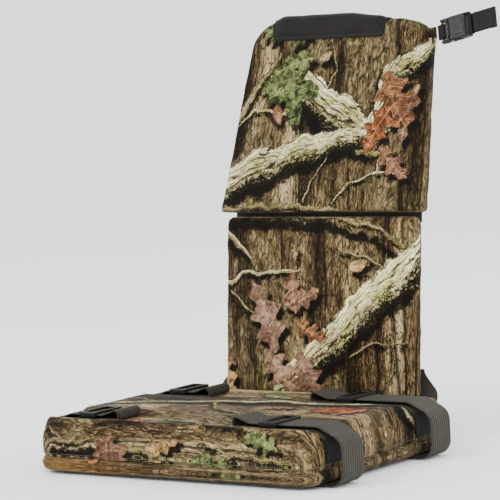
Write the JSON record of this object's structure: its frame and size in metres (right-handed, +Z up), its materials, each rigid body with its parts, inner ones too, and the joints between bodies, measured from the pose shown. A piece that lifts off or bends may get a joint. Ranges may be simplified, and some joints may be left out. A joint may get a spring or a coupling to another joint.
{
  "type": "padded folding seat",
  "caption": "Padded strap-on seat pad for a climbing tree stand, with a two-panel folding backrest, webbing straps with sliders and a top strap with a side-release buckle.",
  "frame": {"origin": "middle of the seat's flat underside", "axes": "+Z up, -Y towards the seat's front edge, +X towards the side whose straps stand out in loops"},
  "size_m": [0.4873, 0.5014, 0.6077],
  "materials": {
    "camo_cloth": "printed woodland pattern on brushed polyester",
    "back_cloth": "woven polyester",
    "base_cloth": "coarse woven nylon",
    "foam": "closed-cell foam",
    "stiffener": "sheet plastic",
    "vinyl": "black grained vinyl",
    "webbing": "ribbed olive-grey webbing",
    "black_webbing": "ribbed black webbing",
    "black_plastic": "moulded, fine texture"
  },
  "bodies": {
    "seat": {"seat_cover": "camo_cloth", "seat_band": "camo_cloth", "seat_base": "base_cloth", "seat_board": "stiffener", "seat_foam": "foam", "seat_hinge": "base_cloth", "strap_front_right": "webbing", "strap_rear_right": "webbing", "strap_front_left": "webbing", "strap_rear_left": "webbing"},
    "lower_back": {"lower_front_cover": "camo_cloth", "lower_rear_cover": "back_cloth", "lower_board": "stiffener", "lower_foam": "foam", "crease_binding": "base_cloth"},
    "upper_back": {"upper_front_cover": "camo_cloth", "upper_rear_cover": "back_cloth", "upper_board": "stiffener", "upper_foam": "foam", "top_wrap": "vinyl", "corner_tab": "camo_cloth"},
    "front_right_slider": {"slider_front_right": "black_plastic"},
    "rear_right_slider": {"slider_rear_right": "black_plastic"},
    "front_left_slider": {"slider_front_left": "black_plastic"},
    "rear_left_slider": {"slider_rear_left": "black_plastic"},
    "top_strap_link": {"tab_loop": "black_webbing", "buckle_plug": "black_plastic", "buckle_socket": "black_plastic", "top_strap": "black_webbing"},
    "upper_prong": {"buckle_prong_upper": "black_plastic"},
    "lower_prong": {"buckle_prong_lower": "black_plastic"}
  },
  "joints": [
    {"name": "back_fold", "type": "hinge", "parent": "seat", "child": "lower_back", "pos_m": [0, 0.181, 0.06], "axis": [1, 0, 0], "range_deg": [-25, 71]},
    {"name": "upper_fold", "type": "hinge", "parent": "lower_back", "child": "upper_back", "pos_m": [0, 0.23612, 0.31941], "axis": [1, 0, 0], "range_deg": [-165, 0]},
    {"name": "front_right_slide", "type": "slide", "parent": "seat", "child": "front_right_slider", "axis": [1, 0, 0], "range_m": [-0.016, 0.045]},
    {"name": "rear_right_slide", "type": "slide", "parent": "seat", "child": "rear_right_slider", "axis": [1, 0, 0], "range_m": [-0.018, 0.06]},
    {"name": "front_left_slide", "type": "slide", "parent": "seat", "child": "front_left_slider", "axis": [1, 0, 0], "range_m": [-0.014, 0.006]},
    {"name": "rear_left_slide", "type": "slide", "parent": "seat", "child": "rear_left_slider", "axis": [1, 0, 0], "range_m": [-0.005, 0.01]},
    {"name": "strap_swing", "type": "hinge", "parent": "upper_back", "child": "top_strap_link", "pos_m": [0.161, 0.29907, 0.57061], "axis": [-0.225, 0.293, 0.9293], "range_deg": [-70, 70]},
    {"name": "upper_prong_squeeze", "type": "hinge", "parent": "top_strap_link", "child": "upper_prong", "pos_m": [0.17741, 0.30376, 0.58548], "axis": [0, 0.9537, -0.3007], "range_deg": [0, 6], "stiffness_Nm_per_rad": 0.3},
    {"name": "lower_prong_squeeze", "type": "hinge", "parent": "top_strap_link", "child": "lower_prong", "pos_m": [0.18259, 0.29702, 0.5641], "axis": [0, 0.9537, -0.3007], "range_deg": [-6, 0], "stiffness_Nm_per_rad": 0.3}
  ],
  "couplings": [
    {"joint": "lower_prong_squeeze", "follows": "upper_prong_squeeze", "ratio": -1}
  ]
}
